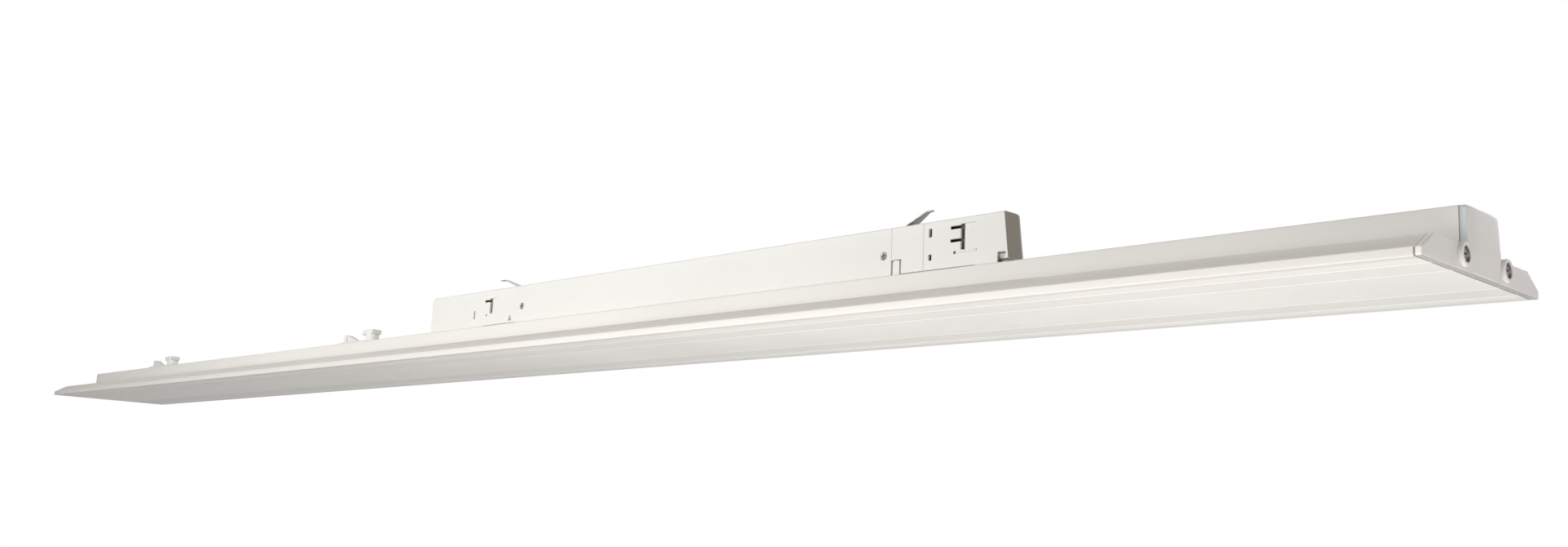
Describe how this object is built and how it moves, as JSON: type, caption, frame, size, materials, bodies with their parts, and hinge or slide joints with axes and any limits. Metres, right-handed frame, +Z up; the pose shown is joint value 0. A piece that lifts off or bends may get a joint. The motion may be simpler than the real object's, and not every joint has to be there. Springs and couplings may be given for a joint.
{
  "type": "linear track light",
  "caption": "Long white linear track light: hat-section housing, flat lens, in-track driver with turning contact levers, earth springs and turn-to-lock track clips.",
  "frame": {"origin": "under the middle of the light, on the plane of the flat lens", "axes": "+X along the light towards the end with the selector dial, -Y the front with the levers, +Z up towards the track"},
  "size_m": [1.5044, 0.119, 0.0644],
  "materials": {
    "housing_paint": "white powder coat on aluminium",
    "lens_opal": "translucent opal, satin outside",
    "cap_plastic": "white moulded plastic, soft gloss",
    "gear_plastic": "white moulded plastic, fine grain",
    "lever_plastic": "white moulded plastic",
    "clip_plastic": "white moulded plastic, soft gloss",
    "screw_steel": "zinc plated",
    "spring_steel": "rolled spring steel",
    "contact_brass": "stamped",
    "board_white": "white solder mask on an aluminium core",
    "emitter_phosphor": "phosphor in a white package",
    "board_green": "green solder mask",
    "ferrite": "sintered ferrite and tape",
    "capacitor_sleeve": "shrink sleeve",
    "film_case": "potted case",
    "terminal_plastic": "grey moulding",
    "lead_insulation": "soft insulation",
    "grommet_rubber": "soft rubber"
  },
  "bodies": {
    "light": {"housing_extrusion": "housing_paint", "lens_cover": "lens_opal", "end_cap_left": "cap_plastic", "end_cap_right": "cap_plastic", "end_cap_screws": "screw_steel", "led_board_front": "board_white", "led_board_back": "board_white", "led_emitters": "emitter_phosphor", "driver_case": "gear_plastic", "driver_cover": "gear_plastic", "adapter_body_right": "gear_plastic", "adapter_body_left": "gear_plastic", "adapter_nose_left": "gear_plastic", "adapter_side_screws": "screw_steel", "earth_spring_right": "spring_steel", "earth_spring_left": "spring_steel", "driver_board": "board_green", "driver_transformer": "ferrite", "driver_capacitors": "capacitor_sleeve", "driver_choke": "ferrite", "driver_film_capacitor": "film_case", "driver_terminal": "terminal_plastic", "supply_leads": "lead_insulation", "led_leads": "lead_insulation", "lead_grommet": "grommet_rubber", "driver_fixing_screws": "screw_steel", "clip_screws": "screw_steel", "clip_base_1": "clip_plastic", "clip_base_2": "clip_plastic"},
    "lever_right": {"contact_drum_right": "lever_plastic", "contact_blades_right": "contact_brass"},
    "lever_left": {"contact_drum_left": "lever_plastic", "contact_blades_left": "contact_brass"},
    "selector": {"phase_selector_dial": "lever_plastic"},
    "key_1": {"clip_key_1": "clip_plastic"},
    "key_2": {"clip_key_2": "clip_plastic"}
  },
  "joints": [
    {"name": "contact_lever_right_turn", "type": "hinge", "parent": "light", "child": "lever_right", "pos_m": [0.488, 0, 0.028], "axis": [0, 0, 1], "range_deg": [0, 90]},
    {"name": "contact_lever_left_turn", "type": "hinge", "parent": "light", "child": "lever_left", "pos_m": [0.0365, 0, 0.028], "axis": [0, 0, 1], "range_deg": [0, 90]},
    {"name": "phase_selector_turn", "type": "hinge", "parent": "light", "child": "selector", "pos_m": [0.5102, 0, 0.028], "axis": [0, 0, 1], "range_deg": [0, 120]},
    {"name": "clip_key_1_turn", "type": "hinge", "parent": "light", "child": "key_1", "pos_m": [-0.58, 0, 0.028], "axis": [0, 0, 1], "range_deg": [0, 90]},
    {"name": "clip_key_2_turn", "type": "hinge", "parent": "light", "child": "key_2", "pos_m": [-0.155, 0, 0.028], "axis": [0, 0, 1], "range_deg": [0, 90]}
  ]
}
